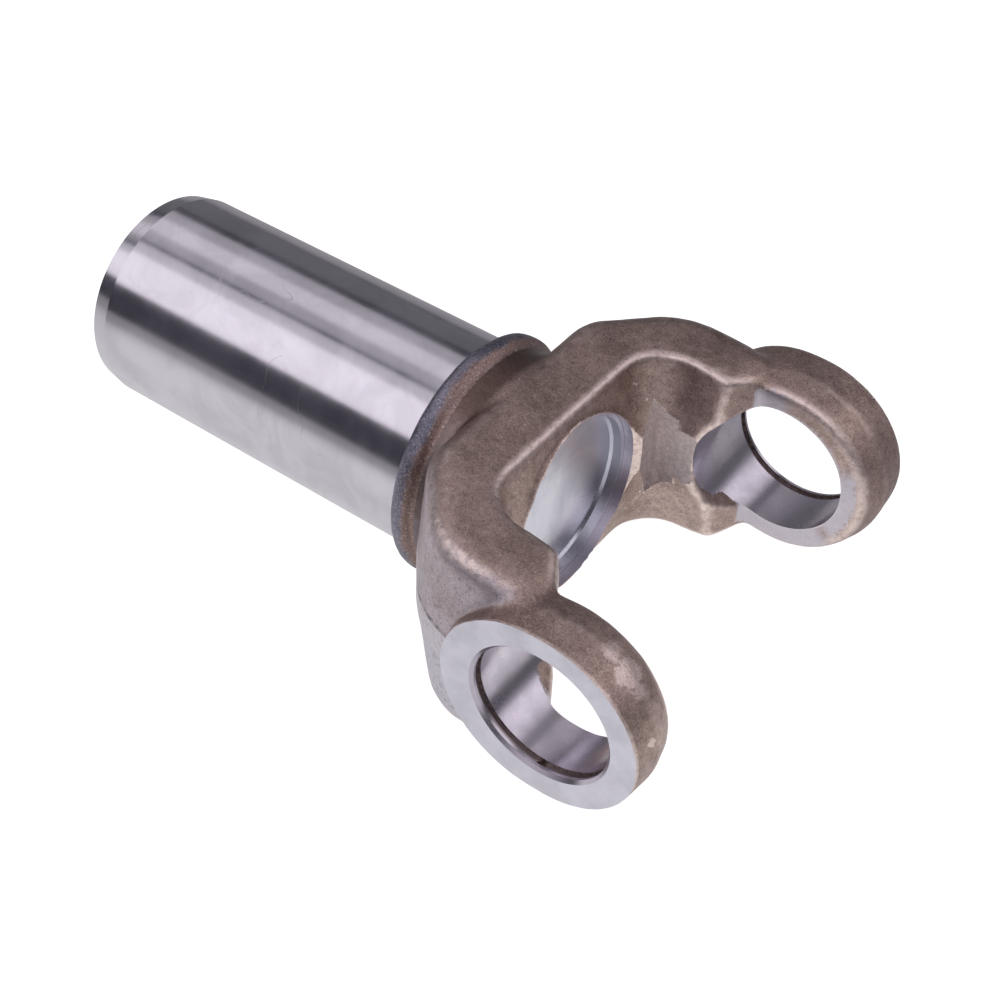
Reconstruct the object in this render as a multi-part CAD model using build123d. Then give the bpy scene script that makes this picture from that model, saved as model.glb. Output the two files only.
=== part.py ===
from build123d import *
from math import pi, radians, tan
import os

# A drive-shaft slip yoke: a forged steel fork with a ground, internally splined barrel,
# and a pressed-in steel expansion plug that closes the splined bore between the ears.
# The origin is the centre of the cross bore. +X points out of the fork, the barrel runs
# towards -X, the cross bore lies along Y, and +Z is up. Millimetres throughout.

# Cross bore and the machined faces of the ears
cap_bore_dia = 27.0
ear_span = 86.8
ring_groove_width = 1.4
ring_land = 1.1
ring_groove_depth = 0.85
ear_gap = 62.8
bore_edge_break = 0.4
staking_pit_dia = 1.1
staking_pit_depth = 1.0

# Forged ears
ear_face_radius = 18.5
ear_belt_share = 0.467
ear_outer_draft = 5.0
ear_inner_draft = 15.0
ear_heel_shift = 1.8
ear_toe_shift = 0.3
ear_inner_edge_radius = 2.0

# Forged fork: plan on the parting plane, drafted up and down
fork_height = 41.6
arm_width_over = 82.0
throat_width = 44.4
back_x = -41.2
back_width = 47.0
back_corner_radius = 12.5
flank_angle = 51.0
shoulder_radius = 18.0
floor_x = -21.8
floor_corner_radius = 5.0
throat_draft = 10.0
outer_draft = 6.0
ear_gap_draft = 3.0
ramp_start_x = -10.4
ramp_angle = 58.0
upper_edge_radius = 4.6
lower_edge_radius = 3.0
throat_edge_radius = 1.4

# Fork seen from the side
saddle_back_height = 23.4
saddle_slope = 0.16
saddle_end_x = -12.8
saddle_end_drop = 0.4
arm_dip = 6.0
arm_end_x = -3.0

# Neck, collar and ground barrel
neck_radius = 22.4
neck_end_x = -36.0
collar_radius = 24.0
collar_front_x = -43.0
collar_width = 4.6
collar_edge_radius = 1.2
barrel_dia = 42.0
barrel_end_x = -124.5
barrel_lead_length = 3.7
barrel_lead_depth = 0.75

# Splined bore
spline_teeth = 30
spline_minor_dia = 30.7
spline_pitch_dia = 31.75
spline_major_dia = 33.2
spline_length = 64.0
spline_mouth_depth = 6.0
spline_flank_angle = 30.0
relief_bore_dia = 33.8
bore_mouth_chamfer = 1.0

# Plug seat and expansion plug
plug_dia = 36.0
plug_clearance = 0.05
plug_seat_x = -28.6
plug_height = 3.6
plug_wall = 0.9
plug_floor_thickness = 1.3
plug_bend = 0.5
seat_mouth_chamfer = 1.2

# Reliefs turned in the arms beside the seat and the cross bore
pocket_dia = 48.8
pocket_end_x = -16.9
journal_relief_dia = 47.2
journal_relief_end_x = -9.0

# How far a cutting shape runs past what it opens, and into what it joins
cut_overrun = 3.0
cut_overlap = 0.5

bore_radius = cap_bore_dia / 2
barrel_radius = barrel_dia / 2
seat_radius = plug_dia / 2
half_height = fork_height / 2
throat_half = throat_width / 2
arm_half = arm_width_over / 2
half_gap = ear_gap / 2
ear_face = ear_span / 2
ring_outer = ear_face - ring_land
ring_inner = ring_outer - ring_groove_width
ear_belt = half_gap + ear_belt_share * (ear_face - half_gap)
collar_back_x = collar_front_x - collar_width


def drafted(outline, height, draft):
    """A solid standing both ways from the parting plane, its walls leaning in by the draft."""
    upper = extrude(outline, height, dir=(0, 0, 1), taper=draft)
    return upper + mirror(upper, about=Plane.XY)


def drafted_fork():
    """The fork's outer walls, drafted up and down from the outline on the parting plane."""
    back_half = back_width / 2
    flank_run = (arm_half - back_half) / tan(radians(flank_angle))
    with BuildSketch() as plan:
        with BuildLine():
            FilletPolyline(
                (arm_end_x, -arm_half),
                (back_x + flank_run, -arm_half),
                (back_x, -back_half),
                (back_x, back_half),
                (back_x + flank_run, arm_half),
                (arm_end_x, arm_half),
                radius=[shoulder_radius, back_corner_radius, back_corner_radius, shoulder_radius],
            )
            Line((arm_end_x, arm_half), (arm_end_x, -arm_half))
        make_face()
    return drafted(plan.sketch, saddle_back_height + cut_overrun, outer_draft)


def side_view_of_fork():
    """The fork seen along the cross bore: neck, saddle, and arms dipping into the ears."""
    start_x = back_x - cut_overlap
    arm_end_height = half_height - arm_dip
    with BuildSketch(Plane.XZ) as sketch:
        with BuildLine():
            saddle = TangentArc(
                (start_x, saddle_back_height),
                (saddle_end_x, half_height - saddle_end_drop),
                tangent=(1, -saddle_slope),
            )
            shoulder = TangentArc(saddle @ 1, (arm_end_x, arm_end_height), tangent=saddle % 1)
            mirror([saddle, shoulder], about=Plane.XZ)
            Line((start_x, -saddle_back_height), (start_x, saddle_back_height))
            Line((arm_end_x, -arm_end_height), (arm_end_x, arm_end_height))
        make_face()
    return sketch.sketch


def throat():
    """What the forging dies leave open between the arms and between the ears."""
    reach = ear_face_radius + cut_overrun
    ramp_run = (half_gap - throat_half) / tan(radians(ramp_angle))
    with BuildSketch() as slot:
        with BuildLine():
            FilletPolyline(
                (reach, -throat_half),
                (floor_x, -throat_half),
                (floor_x, throat_half),
                (reach, throat_half),
                radius=floor_corner_radius,
            )
            Line((reach, throat_half), (reach, -throat_half))
        make_face()
    with BuildSketch() as gap:
        with BuildLine():
            Polyline(
                (reach, -half_gap),
                (ramp_start_x + ramp_run, -half_gap),
                (ramp_start_x, -throat_half),
                (ramp_start_x, throat_half),
                (ramp_start_x + ramp_run, half_gap),
                (reach, half_gap),
                close=True,
            )
        make_face()
    height = half_height + cut_overrun
    return drafted(slot.sketch, height, -throat_draft) + drafted(gap.sketch, height, -ear_gap_draft)


def ear(side):
    """One forged ear: a crowned eye about the cross bore, its heel running into the arm."""
    outward = ear_face - ear_belt
    inward = ear_belt - half_gap
    radius = ear_face_radius + outward * tan(radians(ear_outer_draft))
    shift = (ear_toe_shift - ear_heel_shift) / 2
    length = 2 * radius + ear_heel_shift + ear_toe_shift
    eye = Pos(shift, 0) * SlotOverall(length, 2 * radius)
    outline = Plane.XZ.offset(-ear_belt) * eye
    outer = extrude(outline, outward, dir=(0, 1, 0), taper=ear_outer_draft)
    inner = extrude(outline, inward, dir=(0, -1, 0), taper=ear_inner_draft)
    both = outer + inner
    inside = both.edges().group_by(Axis.Y)[0]
    both = fillet(inside, ear_inner_edge_radius)
    return both if side > 0 else mirror(both, about=Plane.XZ)


def rim_edges(solid, upward):
    """The long edges round the saddle and arms on the upper or the lower side."""
    low = half_height - arm_dip - 1

    def is_rim(edge):
        middle = edge.center()
        ends = [abs(vertex.Z) for vertex in edge.vertices()]
        outside = middle.X < floor_x - 10 or abs(middle.Y) > throat_half + 5
        return min(ends) > low and middle.Z * upward > low and outside

    return solid.edges().filter_by(is_rim)


def throat_rim(edge):
    """True for the edges where the throat breaks out above and below, short of the ears."""
    middle = edge.center()
    along = floor_x - 6 < middle.X < ramp_start_x
    across = abs(middle.Y) < throat_half + 6
    return along and across and abs(middle.Z) > half_height - arm_dip


def forged_fork():
    """The fork as it leaves the dies, with rounded edges and the throat open."""
    side = extrude(Pos(0, -ear_span, 0) * side_view_of_fork(), 2 * ear_span, dir=(0, 1, 0))
    blank = drafted_fork() & side
    blank = fillet(rim_edges(blank, 1), upper_edge_radius)
    blank = fillet(rim_edges(blank, -1), lower_edge_radius)
    fork = blank - throat()
    return fillet(fork.edges().filter_by(throat_rim), throat_edge_radius)


def barrel_and_collar():
    """The turned shank: neck, rough collar and the ground barrel with its lead chamfer."""
    edge = collar_edge_radius
    with BuildSketch() as section:
        with BuildLine():
            Polyline(
                (barrel_end_x, 0),
                (barrel_end_x, barrel_radius - barrel_lead_depth),
                (barrel_end_x + barrel_lead_length, barrel_radius),
                (collar_back_x, barrel_radius),
                (collar_back_x, collar_radius - edge),
                (collar_back_x + edge, collar_radius),
                (collar_front_x - edge, collar_radius),
                (collar_front_x, neck_radius),
                (neck_end_x, neck_radius),
                (neck_end_x, 0),
                close=True,
            )
        make_face()
    return revolve(section.sketch, Axis.X)


def spline_space(angle):
    """One space between two spline teeth, with straight sides at the flank angle."""
    module = spline_pitch_dia / spline_teeth
    half_pitch_gap = pi * module / 4
    slope = tan(radians(spline_flank_angle))
    inner = spline_minor_dia / 2 - cut_overlap
    outer = spline_major_dia / 2
    half_inner = half_pitch_gap + (spline_pitch_dia / 2 - inner) * slope
    half_outer = half_pitch_gap - (outer - spline_pitch_dia / 2) * slope
    start = barrel_end_x + spline_mouth_depth - cut_overlap
    with BuildSketch(Plane.YZ.offset(start)) as sketch:
        with BuildLine():
            Polyline(
                (inner, -half_inner),
                (outer, -half_outer),
                (outer, half_outer),
                (inner, half_inner),
                close=True,
            )
        make_face()
    space = extrude(sketch.sketch, spline_length + 2 * cut_overlap)
    return Rot(angle, 0, 0) * space


def bore_through_barrel():
    """The stepped bore: mouth, splined length, relief, plug seat and tool pocket."""
    spline_start = barrel_end_x + spline_mouth_depth
    spline_end = spline_start + spline_length
    relief = relief_bore_dia / 2
    minor = spline_minor_dia / 2
    lead = (relief - minor) / 2
    chamfer_radius = relief + bore_mouth_chamfer
    cone_radius = seat_radius + seat_mouth_chamfer + cut_overlap
    with BuildSketch() as section:
        with BuildLine():
            Polyline(
                (barrel_end_x - cut_overlap, 0),
                (barrel_end_x - cut_overlap, chamfer_radius),
                (barrel_end_x, chamfer_radius),
                (barrel_end_x + bore_mouth_chamfer, relief),
                (spline_start, relief),
                (spline_start + lead, minor),
                (spline_end - lead, minor),
                (spline_end, relief),
                (plug_seat_x, relief),
                (plug_seat_x, seat_radius),
                (floor_x - seat_mouth_chamfer, seat_radius),
                (floor_x + cut_overlap, cone_radius),
                (pocket_end_x, cone_radius),
                (pocket_end_x, 0),
                close=True,
            )
        make_face()
    bore = revolve(section.sketch, Axis.X)
    for tooth in range(spline_teeth):
        bore += spline_space(360 / spline_teeth * tooth)
    return bore


def turned_reliefs():
    """Shallow reliefs turned in the arms, coaxial with the barrel, that clear the cross."""
    seat = Plane.YZ.offset(floor_x)
    wide = extrude(seat * Circle(pocket_dia / 2), pocket_end_x - floor_x)
    narrow = extrude(seat * Circle(journal_relief_dia / 2), journal_relief_end_x - floor_x)
    return wide + narrow


def bore_through_ears():
    """The cross bore with a snap-ring groove near the outer face of each ear."""
    groove = bore_radius + ring_groove_depth
    mouth = bore_radius + 2 * bore_edge_break
    profile = [
        (0, 0),
        (bore_radius, 0),
        (bore_radius, ring_inner),
        (groove, ring_inner),
        (groove, ring_outer),
        (bore_radius, ring_outer),
        (bore_radius, ear_face - bore_edge_break),
        (mouth, ear_face + bore_edge_break),
        (0, ear_face + bore_edge_break),
    ]
    with BuildSketch() as section:
        with BuildLine():
            Polyline(*profile, close=True)
        make_face()
    half = revolve(section.sketch, Axis.Y)
    return half + mirror(half, about=Plane.XZ)


def staking_pit():
    """The small drilled pit at the bottom of the near ear's ring groove."""
    top = bore_radius + ring_groove_depth - cut_overlap
    middle = (ring_inner + ring_outer) / 2
    depth = staking_pit_depth + cut_overlap
    return Pos(0, -middle, -top - depth / 2) * Cylinder(staking_pit_dia / 2, depth)


def slip_yoke():
    """The forging with its shank, machined all over where it bears on other parts."""
    body = forged_fork() + ear(1) + ear(-1) + barrel_and_collar()
    body = body - bore_through_barrel() - turned_reliefs() - bore_through_ears()
    return body - staking_pit()


def expansion_plug():
    """The pressed-steel cup that closes the bore, its rim towards the cross."""
    outer = seat_radius - plug_clearance
    inner = outer - plug_wall
    front = plug_seat_x + plug_height
    floor = plug_seat_x + plug_floor_thickness
    with BuildSketch() as section:
        with BuildLine():
            Polyline(
                (plug_seat_x, 0),
                (plug_seat_x, outer - plug_bend),
                (plug_seat_x + plug_bend, outer),
                (front, outer),
                (front, inner),
                (floor + plug_bend, inner),
                (floor, inner - plug_bend),
                (floor, 0),
                close=True,
            )
        make_face()
    return revolve(section.sketch, Axis.X)


os.makedirs("parts", exist_ok=True)
yoke = slip_yoke()
plug = expansion_plug()
export_step(yoke, "parts/yoke.step")
export_step(plug, "parts/expansion_plug.step")
print("yoke", round(yoke.volume), yoke.is_valid, len(yoke.solids()))
print("expansion_plug", round(plug.volume), plug.is_valid, len(plug.solids()))
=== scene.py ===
from math import cos, pi, radians, sin, tan

import bmesh
import bpy
import numpy as np
from mathutils import Matrix, Vector


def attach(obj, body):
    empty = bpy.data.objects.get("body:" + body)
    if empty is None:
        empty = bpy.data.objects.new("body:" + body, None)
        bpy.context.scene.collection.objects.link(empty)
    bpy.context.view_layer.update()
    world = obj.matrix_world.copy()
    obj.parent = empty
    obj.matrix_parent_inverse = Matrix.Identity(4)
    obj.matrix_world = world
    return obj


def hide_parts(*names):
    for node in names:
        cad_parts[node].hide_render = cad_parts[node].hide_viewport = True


# Dresses the drive-shaft slip yoke. Everything is in metres in the CAD's own frame: the origin
# is the centre of the cross bore, +X leaves the fork, Y is the cross bore and +Z is up.
MM = 0.001

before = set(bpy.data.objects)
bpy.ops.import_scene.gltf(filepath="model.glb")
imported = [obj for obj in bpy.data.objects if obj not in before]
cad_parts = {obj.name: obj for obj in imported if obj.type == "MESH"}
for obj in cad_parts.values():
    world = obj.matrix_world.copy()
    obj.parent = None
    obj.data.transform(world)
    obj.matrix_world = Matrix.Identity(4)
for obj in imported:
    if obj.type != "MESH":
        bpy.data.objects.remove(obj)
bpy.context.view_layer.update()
cad_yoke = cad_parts["yoke"]
cad_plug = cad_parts["expansion_plug"]

# Sizes of the machined surfaces and of the forging, in millimetres
BORE_R = 13.5
FACE_Y = 43.4
RING_Y = (40.9, 42.3)
RING_R = 14.35
SEAT_R = 18.0
SEAT_X = -28.6
POCKET_R = 24.4
POCKET_X = -16.9
JOURNAL_R = 23.6
JOURNAL_X = -9.0
FLOOR_X = -21.8
COLLAR_BACK_X = -47.6
COLLAR_FRONT_X = -43.0
BARREL_R = 21.0
BARREL_END_X = -124.5
LEAD_LENGTH = 3.7
LEAD_DEPTH = 0.75
EAR_R = 18.55
EAR_SHIFT = -1.8
FORGING_OFFSET = (0.25, -0.45, -0.40)
PIT_R = 0.8
PIT_Y = -41.6
PIT_DEEPEST = 15.35
EDGE_BREAK = 0.6
SEAT_CHAMFER = 1.2
SKIN_VOXEL = 0.55
SKIN_WAVES = ((7.0, 0.20), (2.2, 0.07))
BARREL_SKIN = 1.0
FLOOR_Z = -24.0

# Shares of the floor's own light that each kind of ray meets
CAMERA_GLOW = 0.92
GLOSS_GLOW = 0.43
DIFFUSE_GLOW = 0.55
GAP_GLOW = 0.33


def new_object(name, mesh):
    obj = bpy.data.objects.new(name, mesh)
    bpy.context.scene.collection.objects.link(obj)
    return obj


def lathe(name, profile, axis="X", segments=256):
    """A closed solid turned about X or Y from (along, radius) pairs: from axis to axis, or a loop."""
    mesh = bpy.data.meshes.new(name)
    bm = bmesh.new()
    rings = []
    for along, radius in profile:
        if rings and (along, radius) == profile[0]:
            rings.append(rings[0])
            continue
        if radius == 0:
            at = (along, 0, 0) if axis == "X" else (0, along, 0)
            rings.append([bm.verts.new([c * MM for c in at])])
            continue
        ring = []
        for k in range(segments):
            t = 2 * pi * k / segments
            a, b = radius * cos(t), radius * sin(t)
            at = (along, a, b) if axis == "X" else (b, along, a)
            ring.append(bm.verts.new([c * MM for c in at]))
        rings.append(ring)
    for first, second in zip(rings, rings[1:]):
        for k in range(segments):
            n = (k + 1) % segments
            corners = [first[k % len(first)], first[n % len(first)]]
            corners += [second[n % len(second)], second[k % len(second)]]
            unique = list(dict.fromkeys(corners))
            if len(unique) > 2:
                bm.faces.new(unique)
    bmesh.ops.recalc_face_normals(bm, faces=bm.faces)
    bm.to_mesh(mesh)
    bm.free()
    return new_object(name, mesh)


def box_solid(name, low, high):
    mesh = bpy.data.meshes.new(name)
    bm = bmesh.new()
    bmesh.ops.create_cube(bm, size=1)
    for v in bm.verts:
        v.co = Vector([(low[i] if v.co[i] < 0 else high[i]) * MM for i in range(3)])
    bm.to_mesh(mesh)
    bm.free()
    return new_object(name, mesh)


def slot_prism(name, radius, shift, y_start, y_end, taper, segments=96):
    """The ear's outline about the cross bore, carried along Y with a taper."""
    mesh = bpy.data.meshes.new(name)
    bm = bmesh.new()
    rings = []
    for y, r in ((y_start, radius), (y_end, radius - taper)):
        ring = []
        for k in range(segments):
            t = 2 * pi * k / segments
            x = r * cos(t) + (shift if cos(t) < 0 else 0)
            ring.append(bm.verts.new((x * MM, y * MM, r * sin(t) * MM)))
        rings.append(ring)
    for k in range(segments):
        n = (k + 1) % segments
        bm.faces.new([rings[0][k], rings[0][n], rings[1][n], rings[1][k]])
    bm.faces.new(rings[0])
    bm.faces.new(rings[1])
    bmesh.ops.recalc_face_normals(bm, faces=bm.faces)
    bm.to_mesh(mesh)
    bm.free()
    return new_object(name, mesh)


def pit_cutter(segments=32):
    """The small round pit in the near ear's ring groove, along Z."""
    mesh = bpy.data.meshes.new("pit")
    bm = bmesh.new()
    rings = []
    for z in (-PIT_DEEPEST, -BORE_R - 0.35):
        ring = []
        for k in range(segments):
            t = 2 * pi * k / segments
            at = (PIT_R * cos(t), PIT_Y + PIT_R * sin(t), z)
            ring.append(bm.verts.new([c * MM for c in at]))
        rings.append(ring)
    for k in range(segments):
        n = (k + 1) % segments
        bm.faces.new([rings[0][k], rings[0][n], rings[1][n], rings[1][k]])
    bm.faces.new(rings[0])
    bm.faces.new(rings[1])
    bmesh.ops.recalc_face_normals(bm, faces=bm.faces)
    bm.to_mesh(mesh)
    bm.free()
    return new_object("pit", mesh)


def cad_copy(name, node):
    """A copy of a CAD node's mesh with its seams welded into one closed skin."""
    mesh = node.data.copy()
    bm = bmesh.new()
    bm.from_mesh(mesh)
    bmesh.ops.remove_doubles(bm, verts=bm.verts, dist=0.0005 * MM)
    bmesh.ops.dissolve_degenerate(bm, dist=0.0002 * MM, edges=bm.edges)
    bm.to_mesh(mesh)
    bm.free()
    return new_object(name, mesh)


def apply_modifiers(obj):
    bpy.context.view_layer.update()
    graph = bpy.context.evaluated_depsgraph_get()
    mesh = bpy.data.meshes.new_from_object(obj.evaluated_get(graph))
    obj.modifiers.clear()
    obj.data = mesh


def boolean(obj, other, operation):
    """Joins, cuts or keeps what two closed solids share, and drops the second."""
    modifier = obj.modifiers.new("boolean", "BOOLEAN")
    modifier.operation = operation
    modifier.solver = "MANIFOLD"
    modifier.object = other
    apply_modifiers(obj)
    bpy.data.objects.remove(other)


def smooth_step(value, low, high):
    share = min(max((value - low) / (high - low), 0.0), 1.0)
    return share * share * (3 - 2 * share)


def offset_forging(fork):
    """Moves the raw forging a little against the bores and faces that are cut in it later."""
    count = len(fork.data.vertices)
    at = np.zeros(count * 3, np.float32)
    fork.data.vertices.foreach_get("co", at)
    at = at.reshape(-1, 3)
    share = np.clip((at[:, 0] / MM - COLLAR_FRONT_X) / (FLOOR_X - COLLAR_FRONT_X), 0, 1)
    at += share[:, None] * np.array(FORGING_OFFSET, np.float32) * MM
    fork.data.vertices.foreach_set("co", at.reshape(-1))
    fork.data.update()


def forged_fork():
    """The CAD fork with its creases worn round and its skin uneven, then machined crisp again."""
    fork = cad_copy("slip_yoke", cad_yoke)
    boolean(fork, box_solid("cut", (COLLAR_BACK_X, -60, -40), (40, 60, 40)), "INTERSECT")
    for side in (-1, 1):
        filler = [(0, 0), (0, BORE_R + 0.02), (9.2, BORE_R + 0.02), (9.2, 14.8), (11.8, 14.8), (11.8, 0)]
        turned = [(side * (y + 31.3), r) for y, r in filler]
        boolean(fork, lathe("filler", turned, "Y", 96), "UNION")
        prism = slot_prism("boss", EAR_R + 0.05, EAR_SHIFT, side * 42.4, side * 46.4, 0.35)
        boolean(fork, prism, "UNION")
    seat = [(-30.0, 0), (-30.0, SEAT_R + 0.02), (-23.0, SEAT_R + 0.02), (-23.0, 0)]
    boolean(fork, lathe("filler", seat, "X", 128), "UNION")

    remesh = fork.modifiers.new("remesh", "REMESH")
    remesh.mode = "VOXEL"
    remesh.voxel_size = SKIN_VOXEL * MM
    apply_modifiers(fork)

    # The crease between arm and ear, and the ramp inside it, are rounder than the rest
    valley = fork.vertex_groups.new(name="valley")
    for vertex in fork.data.vertices:
        x, y, z = vertex.co / MM
        share = smooth_step(abs(y), 30.0, 35.0) * smooth_step(x, -24.0, -15.0)
        ramp = smooth_step(abs(y), 19.0, 23.0) * smooth_step(x, -16.0, -11.0)
        share = max(share, ramp) * (1 - smooth_step(x, -8.0, 0.0))
        if share > 0.02:
            valley.add([vertex.index], share, "REPLACE")
    for name, iterations, group in (("all", 10, ""), ("valley", 34, "valley")):
        smooth = fork.modifiers.new(name, "SMOOTH")
        smooth.factor = 0.5
        smooth.iterations = iterations
        smooth.vertex_group = group
    for size, strength in SKIN_WAVES:
        texture = bpy.data.textures.new("skin", "CLOUDS")
        texture.noise_scale = size * MM
        texture.noise_depth = 2
        displace = fork.modifiers.new("skin", "DISPLACE")
        displace.texture = texture
        displace.texture_coords = "LOCAL"
        displace.mid_level = 0.5
        displace.strength = strength * MM
    apply_modifiers(fork)
    offset_forging(fork)

    for side in (-1, 1):
        low, high = sorted((side * FACE_Y, side * 60))
        boolean(fork, box_solid("face", (-40, low, -40), (40, high, 40)), "DIFFERENCE")
    cut = [(-50, 0), (-50, BORE_R + 2 * EDGE_BREAK)]
    cut += [(-FACE_Y, BORE_R + EDGE_BREAK), (-FACE_Y + EDGE_BREAK, BORE_R)]
    cut += [(-RING_Y[1], BORE_R), (-RING_Y[1], RING_R), (-RING_Y[0], RING_R), (-RING_Y[0], BORE_R)]
    cut += [(-y, r) for y, r in reversed(cut)]
    boolean(fork, lathe("cross_bore", cut, "Y", 192), "DIFFERENCE")
    seat = [(SEAT_X, 0), (SEAT_X, SEAT_R), (FLOOR_X - SEAT_CHAMFER, SEAT_R)]
    seat += [(FLOOR_X, SEAT_R + SEAT_CHAMFER), (FLOOR_X, POCKET_R), (POCKET_X, POCKET_R)]
    seat += [(POCKET_X, JOURNAL_R), (JOURNAL_X, JOURNAL_R), (JOURNAL_X, 0)]
    boolean(fork, lathe("seat", seat, "X", 256), "DIFFERENCE")
    boolean(fork, pit_cutter(), "DIFFERENCE")
    box = box_solid("square", (COLLAR_BACK_X, -60, -40), (40, 60, 40))
    boolean(fork, box, "INTERSECT")
    return fork


def shank():
    """The ground barrel: the CAD's bore and splines inside a finely turned skin."""
    core = cad_copy("core", cad_yoke)
    inner = BARREL_R - BARREL_SKIN
    ends = (BARREL_END_X - 0.5, COLLAR_BACK_X)
    limit = [(ends[0], 0), (ends[0], inner), (ends[1], inner), (ends[1], 0)]
    boolean(core, lathe("limit", limit), "INTERSECT")
    skin = [(BARREL_END_X, inner - 0.2), (BARREL_END_X, BARREL_R - LEAD_DEPTH)]
    skin += [(BARREL_END_X + LEAD_LENGTH, BARREL_R), (COLLAR_BACK_X, BARREL_R)]
    skin += [(COLLAR_BACK_X, inner - 0.2), (BARREL_END_X, inner - 0.2)]
    tube = lathe("tube", skin, segments=288)
    boolean(core, tube, "UNION")
    return core


class Nodes:
    """Short names for building a node material."""

    def __init__(self, name):
        self.material = bpy.data.materials.new(name)
        self.material.use_nodes = True
        self.tree = self.material.node_tree
        self.tree.nodes.clear()
        self.output = self.tree.nodes.new("ShaderNodeOutputMaterial")
        coords = self.tree.nodes.new("ShaderNodeTexCoord")
        self.place = coords.outputs["Object"]

    def put(self, socket, value):
        if isinstance(value, bpy.types.NodeSocket):
            self.tree.links.new(value, socket)
        elif value is not None:
            socket.default_value = value

    def node(self, kind, **inputs):
        node = self.tree.nodes.new(kind)
        for key, value in inputs.items():
            self.put(node.inputs[key], value)
        return node

    def scaled(self, scale):
        node = self.tree.nodes.new("ShaderNodeMapping")
        self.put(node.inputs["Vector"], self.place)
        node.inputs["Scale"].default_value = scale
        return node.outputs[0]

    def noise(self, scale, detail=4.0, rough=0.55, vector=None, distortion=0.0):
        node = self.tree.nodes.new("ShaderNodeTexNoise")
        self.put(node.inputs["Vector"], vector or self.place)
        node.inputs["Scale"].default_value = scale
        node.inputs["Detail"].default_value = detail
        node.inputs["Roughness"].default_value = rough
        node.inputs["Distortion"].default_value = distortion
        return node.outputs["Fac"]

    def ramp(self, value, low, high, to_low=0.0, to_high=1.0):
        node = self.tree.nodes.new("ShaderNodeMapRange")
        node.interpolation_type = "SMOOTHSTEP"
        self.put(node.inputs["Value"], value)
        node.inputs["From Min"].default_value = low
        node.inputs["From Max"].default_value = high
        node.inputs["To Min"].default_value = to_low
        node.inputs["To Max"].default_value = to_high
        return node.outputs[0]

    def math(self, kind, a, b=None, clamp=False):
        node = self.tree.nodes.new("ShaderNodeMath")
        node.operation = kind
        node.use_clamp = clamp
        self.put(node.inputs[0], a)
        self.put(node.inputs[1], b)
        return node.outputs[0]

    def mix(self, share, a, b):
        node = self.tree.nodes.new("ShaderNodeMix")
        node.data_type = "RGBA"
        self.put(node.inputs[0], share)
        self.put(node.inputs[6], a)
        self.put(node.inputs[7], b)
        return node.outputs[2]

    def bump(self, height, strength, distance, normal=None):
        node = self.tree.nodes.new("ShaderNodeBump")
        self.put(node.inputs["Height"], height)
        node.inputs["Strength"].default_value = strength
        node.inputs["Distance"].default_value = distance
        if normal is not None:
            self.put(node.inputs["Normal"], normal)
        return node.outputs[0]

    def finish(self, color, rough, metallic, normal=None, **more):
        shader = self.tree.nodes.new("ShaderNodeBsdfPrincipled")
        self.put(shader.inputs["Base Color"], color)
        self.put(shader.inputs["Roughness"], rough)
        self.put(shader.inputs["Metallic"], metallic)
        for key, value in more.items():
            self.put(shader.inputs[key.replace("_", " ")], value)
        if normal is not None:
            self.put(shader.inputs["Normal"], normal)
        self.tree.links.new(shader.outputs[0], self.output.inputs["Surface"])
        return self.material


def rgb(r, g, b):
    """A linear colour from the eight-bit values a painter would pick."""
    def linear(c):
        c = c / 255
        return c / 12.92 if c <= 0.04045 else ((c + 0.055) / 1.055) ** 2.4
    return (linear(r), linear(g), linear(b), 1.0)


def window(n, value, low, high, soft):
    """One between two values, fading to nothing past them."""
    rise = n.ramp(value, low - soft, low)
    fall = n.ramp(value, high, high + soft, 1.0, 0.0)
    return n.math("MULTIPLY", rise, fall)


def times(n, first, *others):
    """The product of any number of values."""
    for other in others:
        first = n.math("MULTIPLY", first, other)
    return first


def place_and_normal(n):
    """The object's own coordinates in millimetres, and the skin's direction."""
    split = n.tree.nodes.new("ShaderNodeSeparateXYZ")
    n.put(split.inputs[0], n.place)
    x, y, z = [n.math("MULTIPLY", split.outputs[k], 1000.0) for k in range(3)]
    coords = n.tree.nodes.new("ShaderNodeTexCoord")
    facing = n.tree.nodes.new("ShaderNodeSeparateXYZ")
    n.put(facing.inputs[0], coords.outputs["Normal"])
    return (x, y, z), facing.outputs


def from_axis(n, a, b):
    """The distance from an axis, from the two coordinates across it."""
    return n.math("SQRT", n.math("ADD", n.math("MULTIPLY", a, a), n.math("MULTIPLY", b, b)))


def mouth_patches(n, x, y, z, ragged):
    """Where the boring tool has rubbed the inside of each ear bright, round the bore's mouth."""
    rough_edge = n.math("MULTIPLY", n.math("SUBTRACT", ragged, 0.5), 3.0)
    radius = n.math("ADD", from_axis(n, x, z), rough_edge)
    angle = n.math("ARCTAN2", z, x)
    total = n.ramp(radius, 14.3, 13.9, 0.0, 0.7)
    for low, high, reach in ((98, 117, 16.8), (-113, -51, 17.8), (-30, 16, 16.4)):
        sector = window(n, angle, radians(low), radians(high), 0.30)
        total = n.math("MAXIMUM", total, times(n, sector, n.ramp(radius, reach + 0.5, reach - 0.3)))
    inside = window(n, n.math("ABSOLUTE", y), 30.0, 34.5, 0.3)
    return times(n, total, inside)


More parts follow.
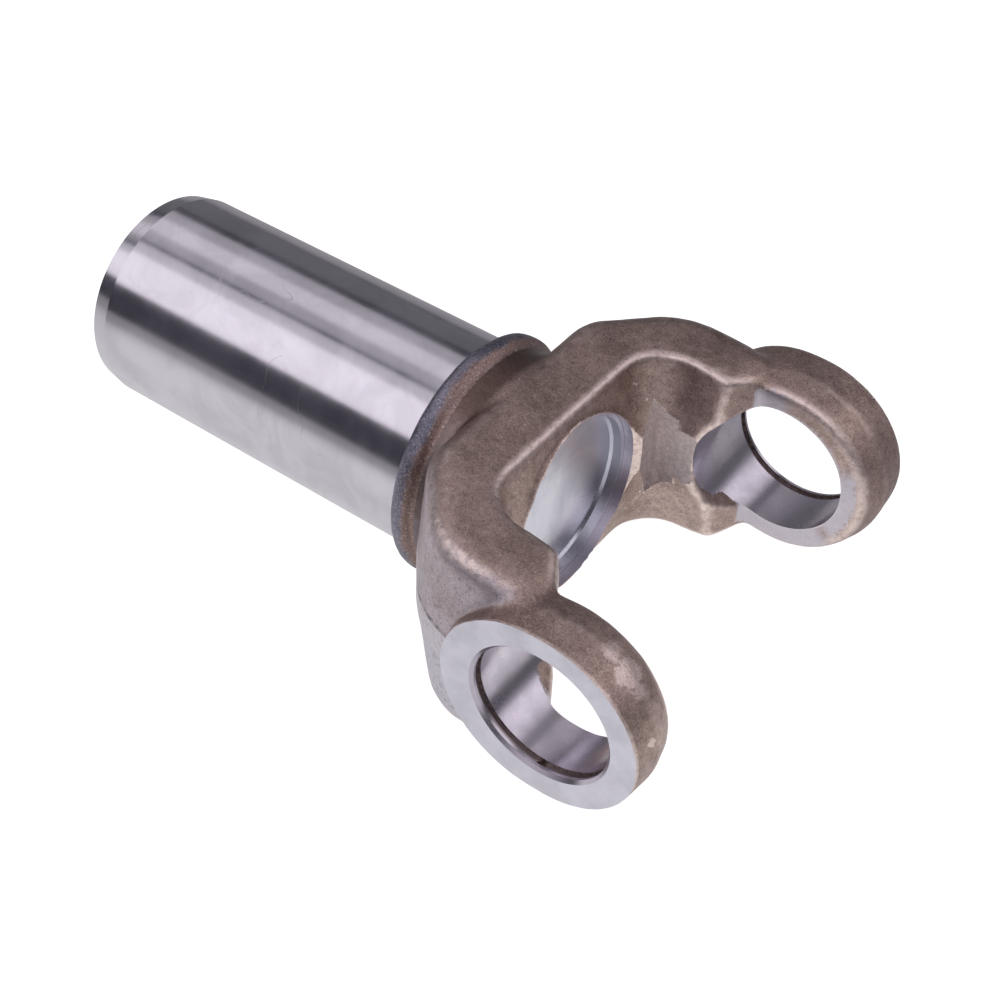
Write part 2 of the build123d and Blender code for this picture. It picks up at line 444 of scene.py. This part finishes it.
def forging_scale():
    """Brown oxide over steel, with a painted reflection of the floor's light on the outer walls, bright
    where it was rubbed or struck, with painted highlights along its ridges and shoulders and painted
    shade in its creases and at the neck.
    """
    n = Nodes("forging_scale")
    (x, y, z), facing = place_and_normal(n)
    broad = n.noise(70.0, 3.0)
    spots = n.noise(900.0, 3.0, 0.6)
    grain = n.noise(3300.0, 3.0, 0.75)
    cloud = n.noise(520.0, 4.0, 0.65, distortion=0.4)
    base = n.mix(n.ramp(broad, 0.36, 0.64), rgb(158, 137, 128), rgb(186, 163, 154))
    base = n.mix(n.ramp(cloud, 0.50, 0.68, 0.0, 0.30), base, rgb(222, 200, 188))
    base = n.mix(n.ramp(cloud, 0.48, 0.34, 0.0, 0.28), base, rgb(112, 94, 84))
    sideways = n.math("ABSOLUTE", facing[1])
    out = n.math("MULTIPLY", facing[1], y)
    upright = n.ramp(sideways, 0.30, 0.80)
    outside = n.ramp(n.math("ABSOLUTE", y), 30.0, 36.0)
    outward = n.ramp(out, 0.0, 12.0, 0.1, 1.0)
    # Painted reflection of the floor's light: the outward-facing walls are mixed towards a pale
    # grey-lilac.
    painted_floor_sheen = times(n, upright, outward, n.ramp(broad, 0.3, 0.6, 0.5, 0.85))
    base = n.mix(painted_floor_sheen, base, rgb(208, 201, 210))
    # Painted reflection of the floor's light on the lower part of the outward walls, below the parting
    # line, paler still.
    lower_wall_floor_sheen = times(n, n.ramp(z, 3.2, 2.2), upright, n.ramp(out, 4.0, 16.0))
    base = n.mix(n.math("MULTIPLY", lower_wall_floor_sheen, 0.85), base, rgb(222, 221, 232))
    base = n.mix(n.ramp(spots, 0.50, 0.68, 0.0, 0.28), base, rgb(118, 98, 90))
    base = n.mix(n.ramp(grain, 0.46, 0.32, 0.0, 0.65), base, rgb(86, 70, 64))
    base = n.mix(n.ramp(grain, 0.54, 0.68, 0.0, 0.55), base, rgb(240, 220, 210))
    geometry = n.tree.nodes.new("ShaderNodeNewGeometry")
    # Worn edges rubbed bright on the sharpest ridges, which also carry a painted highlight along every
    # rim.
    worn_edge_and_highlight = n.ramp(geometry.outputs["Pointiness"], 0.504, 0.520)
    worn_edge_and_highlight = times(n, worn_edge_and_highlight, n.ramp(spots, 0.30, 0.58, 0.4, 1.0))
    # Painted highlight along the arms' outer upper edges, broken up by the spots and fading out before
    # the ears.
    shoulder_highlight = times(n, n.ramp(facing[2], 0.40, 0.62), n.ramp(sideways, 0.34, 0.52))
    shoulder_highlight = times(n, shoulder_highlight, n.ramp(out, 2.0, 8.0), window(n, x, -40.0, -17.0, 4.5))
    shoulder_highlight = times(n, shoulder_highlight, n.ramp(spots, 0.38, 0.60, 0.15, 1.0))
    worn_edge_and_highlight = n.math("MAXIMUM", worn_edge_and_highlight, shoulder_highlight)
    trimmed = times(n, n.ramp(n.math("ABSOLUTE", z), 3.2, 2.4), upright, outside)
    trimmed = times(n, trimmed, n.ramp(spots, 0.36, 0.56, 0.05, 0.25), n.ramp(x, 6.0, 0.0))
    hammer = n.noise(620.0, 4.0, 0.7, distortion=0.5)
    struck = 0.0
    blows = (((13.0, -37.4, 14.6), 3.2), ((15.8, -37.6, 12.4), 2.2), ((9.6, -36.6, 17.4), 2.6))
    for spot, reach in blows:
        gap = n.tree.nodes.new("ShaderNodeVectorMath")
        gap.operation = "DISTANCE"
        n.put(gap.inputs[0], n.place)
        gap.inputs[1].default_value = [c * MM for c in spot]
        blot = n.math("ADD", gap.outputs["Value"], n.math("MULTIPLY", hammer, 0.0045))
        blot = n.ramp(blot, (reach + 2.4) * MM, (reach + 1.2) * MM)
        struck = n.math("MAXIMUM", blot, struck)
    struck = times(n, struck, n.ramp(grain, 0.3, 0.55, 0.35, 0.9))
    bright = n.math("MAXIMUM", n.math("MAXIMUM", worn_edge_and_highlight, trimmed), struck)
    # Bright steel where rubbed, trimmed or struck, mixed with the painted ridge and shoulder highlights.
    base = n.mix(n.math("MULTIPLY", bright, 0.80), base, rgb(246, 228, 220))
    sheared = times(n, window(n, z, 2.7, 3.3, 0.35), upright, outside, n.ramp(x, -8.0, -12.0))
    base = n.mix(times(n, sheared, n.ramp(cloud, 0.35, 0.6, 0.15, 0.75)), base, rgb(92, 82, 84))
    rubbed = mouth_patches(n, x, y, z, spots)
    base = n.mix(rubbed, base, n.mix(grain, rgb(176, 170, 178), rgb(224, 218, 226)))
    # Painted shade in the concave creases and in the valley at the neck behind the collar, in dark
    # brown.
    crease_shade = n.ramp(geometry.outputs["Pointiness"], 0.485, 0.45, 0.0, 0.5)
    neck_shade = n.ramp(from_axis(n, y, z), 25.5, 23.8, 0.0, 0.75)
    neck_shade = times(n, window(n, x, -43.0, -39.0, 2.0), neck_shade)
    base = n.mix(n.math("MAXIMUM", crease_shade, neck_shade), base, rgb(92, 74, 68))
    rough = n.ramp(spots, 0.3, 0.7, 0.36, 0.46)
    rough = n.math("SUBTRACT", rough, n.math("MULTIPLY", bright, 0.10))
    height = n.math("ADD", n.math("MULTIPLY", spots, 0.9), grain)
    height = n.math("ADD", height, n.math("MULTIPLY", cloud, 0.9))
    return n.finish(base, rough, 1.0, n.bump(height, 0.55, 0.00014))


def relief_scale():
    """The shallow turned reliefs beside the plug, skimmed by the tool and dulled again."""
    n = Nodes("relief_scale")
    grain = n.noise(3300.0, 3.0, 0.75)
    spots = n.noise(900.0, 3.0, 0.6)
    base = n.mix(n.ramp(spots, 0.35, 0.65), rgb(204, 193, 191), rgb(228, 218, 217))
    base = n.mix(n.ramp(grain, 0.46, 0.32, 0.0, 0.6), base, rgb(120, 108, 104))
    rough = n.ramp(spots, 0.3, 0.7, 0.42, 0.52)
    return n.finish(base, rough, 1.0, n.bump(grain, 0.35, 0.00008))


def collar_scale():
    """Blue-grey turned scale next to the barrel, running out into brown towards the fork."""
    n = Nodes("collar_scale")
    (x, _, _), _ = place_and_normal(n)
    fine = n.noise(2600.0, 4.0, 0.75)
    broad = n.noise(160.0, 3.0)
    base = n.mix(n.ramp(broad, 0.35, 0.65), rgb(108, 108, 122), rgb(142, 139, 152))
    edge = n.math("ADD", x, n.math("MULTIPLY", broad, 3.0))
    base = n.mix(n.ramp(edge, -43.4, -42.2), base, rgb(154, 131, 122))
    base = n.mix(n.ramp(fine, 0.53, 0.68, 0.0, 0.8), base, rgb(226, 218, 226))
    base = n.mix(n.ramp(fine, 0.45, 0.32, 0.0, 0.7), base, rgb(62, 60, 70))
    return n.finish(base, n.ramp(fine, 0.3, 0.7, 0.36, 0.48), 1.0, n.bump(fine, 0.6, 0.00012))


def ground_steel():
    """Cylindrically ground barrel: a faint cloudiness, short fine scratches and a few nicks."""
    n = Nodes("ground_steel")
    cloud = n.noise(90.0, 4.0, 0.6, distortion=0.5)
    rings = n.noise(1.0, 2.0, 0.6, n.scaled((5200.0, 40.0, 40.0)))
    bends = n.noise(110.0, 1.0, 0.3, distortion=0.4)
    where = n.noise(61.0, 2.0, 0.5)
    line = n.ramp(n.math("ABSOLUTE", n.math("SUBTRACT", bends, 0.5)), 0.004, 0.0015)
    scratch = times(n, line, n.ramp(where, 0.56, 0.64))
    nick = n.ramp(n.noise(420.0, 1.0, 0.4), 0.80, 0.84)
    tone = n.mix(n.ramp(cloud, 0.35, 0.65), rgb(211, 208, 215), rgb(225, 222, 229))
    tone = n.mix(n.math("MULTIPLY", scratch, 0.25), tone, rgb(150, 146, 154))
    rough = n.math("ADD", n.ramp(cloud, 0.3, 0.7, 0.15, 0.185), n.math("MULTIPLY", scratch, 0.12))
    height = n.math("SUBTRACT", n.math("MULTIPLY", rings, 0.22), n.math("ADD", scratch, nick))
    return n.finish(tone, rough, 1.0, n.bump(height, 0.25, 0.00001))


def turned_steel(name, tint, rough_low, rough_high, rings=False):
    """Faces and bores cut with a tool, with its rings round the cross bore where they show."""
    n = Nodes(name)
    patch = n.noise(160.0, 4.0, 0.6)
    marks = n.noise(1.0, 2.0, 0.6, n.scaled((300.0, 5200.0, 300.0)))
    more = {}
    if rings:
        tangent = n.tree.nodes.new("ShaderNodeTangent")
        tangent.direction_type = "RADIAL"
        tangent.axis = "Y"
        more = {"Tangent": tangent.outputs[0], "Anisotropic": 0.7, "Anisotropic_Rotation": 0.25}
    tone = n.mix(n.ramp(patch, 0.3, 0.7), tint, [c * 0.86 for c in tint[:3]] + [1.0])
    rough = n.ramp(patch, 0.3, 0.7, rough_low, rough_high)
    return n.finish(tone, rough, 1.0, n.bump(marks, 0.08, 0.00002), **more)


def groove_steel():
    """The dull side walls of the ring grooves, in a darker tone that is painted shade of the grooves."""
    n = Nodes("groove_steel")
    fine = n.noise(1200.0, 4.0, 0.6)
    # The dark brown tone is painted shade where the groove lies in its own shadow.
    base = n.mix(n.ramp(fine, 0.4, 0.6), rgb(126, 112, 110), rgb(166, 152, 148))
    return n.finish(base, 0.5, 0.7)


def plug_zinc():
    """Bright plating on the pressed plug, a little clouded."""
    n = Nodes("plug_zinc")
    patch = n.noise(60.0, 4.0, 0.6, distortion=0.6)
    fine = n.noise(2200.0, 3.0, 0.6)
    tone = n.mix(n.ramp(patch, 0.36, 0.66), rgb(210, 210, 218), rgb(184, 185, 196))
    return n.finish(tone, n.ramp(patch, 0.3, 0.7, 0.22, 0.36), 1.0, n.bump(fine, 0.2, 0.00004))


SCALE, COLLAR, GROUND, FACE, BORE, GROOVE, GROOVE_FLOOR, RELIEF = range(8)
materials = [
    forging_scale(),
    collar_scale(),
    ground_steel(),
    turned_steel("turned_face", rgb(232, 231, 240), 0.28, 0.36, rings=True),
    turned_steel("bored_steel", rgb(214, 208, 218), 0.25, 0.32, rings=True),
    groove_steel(),
    turned_steel("groove_floor", rgb(178, 168, 172), 0.30, 0.40),
    relief_scale(),
]


def paint(obj):
    """Gives each facet its material from where it lies and which way it looks."""
    mesh = obj.data
    count = len(mesh.polygons)
    centre = np.zeros(count * 3, np.float32)
    normal = np.zeros(count * 3, np.float32)
    mesh.polygons.foreach_get("center", centre)
    mesh.polygons.foreach_get("normal", normal)
    x, y, z = (centre.reshape(-1, 3) / MM).T
    nx, ny, nz = normal.reshape(-1, 3).T
    about_y = np.hypot(x, z)
    about_x = np.hypot(y, z)
    index = np.full(count, SCALE)
    index[(x < COLLAR_FRONT_X + 0.4) & (about_x > BARREL_R + 0.2)] = COLLAR
    index[(x < COLLAR_BACK_X + 0.01)] = GROUND
    index[(np.abs(x - COLLAR_BACK_X) < 0.02) & (nx < -0.9)] = COLLAR
    face = (np.abs(y) > FACE_Y - 0.01) & (np.abs(ny) > 0.99)
    index[face] = FACE
    lip = (np.abs(y) > FACE_Y - 0.6) & (about_y < BORE_R + 0.7) & ~face
    bore = (about_y < BORE_R + 0.02) & (about_y > BORE_R - 0.1) & (np.abs(ny) < 0.3)
    bore &= np.abs(y) > SEAT_R + 0.5
    index[bore | lip] = BORE
    groove = (about_y > BORE_R + 0.02) & (about_y < RING_R + 0.05)
    groove &= (np.abs(y) > RING_Y[0] - 0.05) & (np.abs(y) < RING_Y[1] + 0.05)
    index[groove] = GROOVE
    index[groove & (about_y > RING_R - 0.03) & (np.abs(ny) < 0.5)] = GROOVE_FLOOR
    inward = (ny * y + nz * z) < 0
    seat = (about_x < SEAT_R + 0.02) & (x > -44) & (x < POCKET_X) & (inward | (nx > 0.9))
    index[seat & (x < FLOOR_X + 1)] = BORE
    relief = (np.abs(about_x - POCKET_R) < 0.03) & (x > -25) & (x < POCKET_X + 0.02)
    relief |= (np.abs(about_x - JOURNAL_R) < 0.03) & (x > -25) & (x < JOURNAL_X + 0.02)
    floor = (np.abs(x - FLOOR_X) < 0.02) & (nx > 0.99)
    index[(relief & inward)] = RELIEF
    index[floor & (about_x < POCKET_R)] = RELIEF
    step = (np.abs(x - POCKET_X) < 0.02) | (np.abs(x - JOURNAL_X) < 0.02)
    index[step & (np.abs(nx) > 0.99) & (about_x < POCKET_R)] = RELIEF
    mesh.materials.clear()
    for material in materials:
        mesh.materials.append(material)
    mesh.polygons.foreach_set("material_index", index.astype(np.int32))
    mesh.polygons.foreach_set("use_smooth", [True] * count)
    mesh.set_sharp_from_angle(angle=radians(32))
    mark_machined_edges(mesh, index)
    true_normals(mesh, index)


def mark_machined_edges(mesh, index):
    """Keeps every edge of a machined surface crisp, and every edge between two finishes."""
    bm = bmesh.new()
    bm.from_mesh(mesh)
    for edge in bm.edges:
        if len(edge.link_faces) == 2:
            first, second = edge.link_faces
            kinds = {first.material_index, second.material_index}
            forged = kinds <= {SCALE, COLLAR}
            if len(kinds) > 1 and not forged:
                edge.smooth = False
            elif not forged and edge.calc_face_angle(0) > radians(7):
                edge.smooth = False
    bm.to_mesh(mesh)
    bm.free()


def true_normals(mesh, index):
    """Gives the turned and bored surfaces the normals of true cylinders and cones."""
    normals = np.zeros(len(mesh.loops) * 3, np.float32)
    mesh.corner_normals.foreach_get("vector", normals)
    normals = normals.reshape(-1, 3)
    points = np.zeros(len(mesh.vertices) * 3, np.float32)
    mesh.vertices.foreach_get("co", points)
    points = points.reshape(-1, 3)
    for polygon in mesh.polygons:
        kind = index[polygon.index]
        if kind not in (GROUND, BORE, FACE, GROOVE, GROOVE_FLOOR, RELIEF):
            continue
        face = np.array(polygon.normal)
        about_barrel = kind in (GROUND, RELIEF) or abs(polygon.center.y) < (SEAT_R + 0.5) * MM
        axis = 0 if about_barrel else 1
        along = face[axis]
        loops = list(polygon.loop_indices)
        if abs(along) > 0.995:
            normals[loops] = face
            continue
        out = points[[mesh.loops[i].vertex_index for i in loops]].copy()
        out[:, axis] = 0
        out /= np.linalg.norm(out, axis=1)[:, None]
        sign = np.sign((out @ face).mean())
        exact = out * sign * (1 - along * along) ** 0.5
        exact[:, axis] = along
        close = np.abs(out @ face).min() > (1 - along * along) ** 0.5 * 0.97
        normals[loops] = exact if close else face
    mesh.normals_split_custom_set(normals.tolist())


fork = forged_fork()
barrel = shank()
boolean(fork, barrel, "UNION")
fork.name = "slip_yoke"
paint(fork)
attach(fork, "root")
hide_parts("yoke")

cad_plug.data.materials.clear()
cad_plug.data.materials.append(plug_zinc())
for polygon in cad_plug.data.polygons:
    polygon.use_smooth = True
cad_plug.data.set_sharp_from_angle(angle=radians(32))

floor_mesh = bpy.data.meshes.new("floor")
bm = bmesh.new()
bmesh.ops.create_grid(bm, x_segments=1, y_segments=1, size=3.0)
bm.to_mesh(floor_mesh)
bm.free()
floor = new_object("floor", floor_mesh)
floor.location.z = FLOOR_Z * MM

# Pale paper that gives off a soft light of its own, most of it close to the yoke
n = Nodes("floor_paper")
path = n.tree.nodes.new("ShaderNodeLightPath")
shrink = n.tree.nodes.new("ShaderNodeMapping")
n.put(shrink.inputs["Vector"], n.place)
shrink.inputs["Location"].default_value = (0.0, 0.05, 0.0)
shrink.inputs["Scale"].default_value = (0.35, 1.0, 1.0)
away = n.tree.nodes.new("ShaderNodeVectorMath")
away.operation = "LENGTH"
n.put(away.inputs[0], shrink.outputs[0])
close = n.ramp(away.outputs["Value"], 0.04, 0.16, 1.0, 0.0)
near = n.ramp(away.outputs["Value"], 0.08, 0.50, 1.0, 0.0)
gloss = n.math("MULTIPLY", n.math("MULTIPLY", path.outputs["Is Glossy Ray"], close), GLOSS_GLOW)
glow = n.math("ADD", n.math("MULTIPLY", path.outputs["Is Camera Ray"], CAMERA_GLOW), gloss)
gap = n.tree.nodes.new("ShaderNodeVectorMath")
gap.operation = "DISTANCE"
n.put(gap.inputs[0], n.place)
gap.inputs[1].default_value = (0.0, 0.006, 0.0)
between = n.ramp(gap.outputs["Value"], 0.042, 0.020, 0.0, GAP_GLOW)
glow = n.math("ADD", glow, n.math("MULTIPLY", path.outputs["Is Glossy Ray"], between))
soft = n.math("MULTIPLY", n.math("MULTIPLY", path.outputs["Is Diffuse Ray"], near), DIFFUSE_GLOW)
glow = n.math("ADD", glow, soft)
diffuse = n.tree.nodes.new("ShaderNodeBsdfDiffuse")
diffuse.inputs["Color"].default_value = (0.55, 0.55, 0.55, 1.0)
emission = n.tree.nodes.new("ShaderNodeEmission")
n.put(emission.inputs["Strength"], glow)
both = n.tree.nodes.new("ShaderNodeAddShader")
n.tree.links.new(diffuse.outputs[0], both.inputs[0])
n.tree.links.new(emission.outputs[0], both.inputs[1])
n.tree.links.new(both.outputs[0], n.output.inputs["Surface"])
floor.data.materials.append(n.material)


def panel(name, centre, aim, size, radiance, color=(1, 1, 1)):
    """A rectangular light of even brightness that looks at a point, its first side level."""
    width, height = size
    data = bpy.data.lights.new(name, "AREA")
    data.shape = "RECTANGLE"
    data.size = width
    data.size_y = height
    data.energy = radiance * pi * width * height
    data.color = color
    light = bpy.data.objects.new(name, data)
    bpy.context.scene.collection.objects.link(light)
    centre = Vector(centre)
    z = (centre - Vector(aim)).normalized()
    x = Vector((0, 0, 1)).cross(z).normalized()
    place = Matrix((x, z.cross(x), z)).transposed().to_4x4()
    place.translation = centre
    light.matrix_world = place
    return light


def strip(name, low, high, distance, x_from, x_to, radiance, color=(1, 1, 1)):
    """A panel along X that the barrel sees between two angles about X (0 is +Y, 90 is up)."""
    a = radians((low + high) / 2)
    middle = (x_from + x_to) / 2
    height = 2 * distance * tan(radians((high - low) / 2))
    centre = (middle, distance * cos(a), distance * sin(a))
    return panel(name, centre, (middle, 0, 0), (x_to - x_from, height), radiance, color)


ROSE = (1.0, 0.95, 1.0)
strip("key", 110, 149, 1.0, -2.6, 1.1, 0.43, ROSE)
strip("key_wide", 97, 149, 1.01, -2.6, 1.1, 0.58, ROSE)
strip("back", 60, 80, 1.1, -2.2, 0.0, 0.31, ROSE)
strip("back_wide", 44, 93, 1.11, -2.2, 0.0, 0.38, ROSE)
strip("top", 50, 97, 1.12, 0.0, 0.45, 0.25, ROSE)
strip("wall", 0, 34, 1.6, -2.5, 2.5, 0.09)
panel("right", (0.701, 0.491, 0.669), (0, 0, 0), (1.15, 0.69), 1.04, ROSE)

world = bpy.data.worlds.new("room")
bpy.context.scene.world = world
world.use_nodes = True
background = world.node_tree.nodes["Background"]
seen = world.node_tree.nodes.new("ShaderNodeLightPath")
backdrop = world.node_tree.nodes.new("ShaderNodeMix")
backdrop.data_type = "RGBA"
backdrop.inputs[6].default_value = (0.055, 0.055, 0.068, 1.0)
backdrop.inputs[7].default_value = (1.0, 1.0, 1.0, 1.0)
world.node_tree.links.new(seen.outputs["Is Camera Ray"], backdrop.inputs[0])
world.node_tree.links.new(backdrop.outputs[2], background.inputs["Color"])
background.inputs["Strength"].default_value = 1.0

# The camera of the photograph, fitted to the bores, the ear faces and the barrel
forward = Vector((-0.4210, 0.5814, -0.6962))
right = Vector((0.7988, 0.6013, 0.0191))
up = Vector((-0.4298, 0.5481, 0.7176))
camera_data = bpy.data.cameras.new("camera")
camera_data.sensor_width = 36.0
camera_data.lens = 67.256
camera_data.clip_start = 0.01
camera = bpy.data.objects.new("camera", camera_data)
bpy.context.scene.collection.objects.link(camera)
place = Matrix((right, up, -forward)).transposed().to_4x4()
place.translation = Vector((106.807, -202.846, 234.318)) * MM
camera.matrix_world = place
bpy.context.scene.camera = camera
bpy.context.scene.view_settings.view_transform = "Standard"
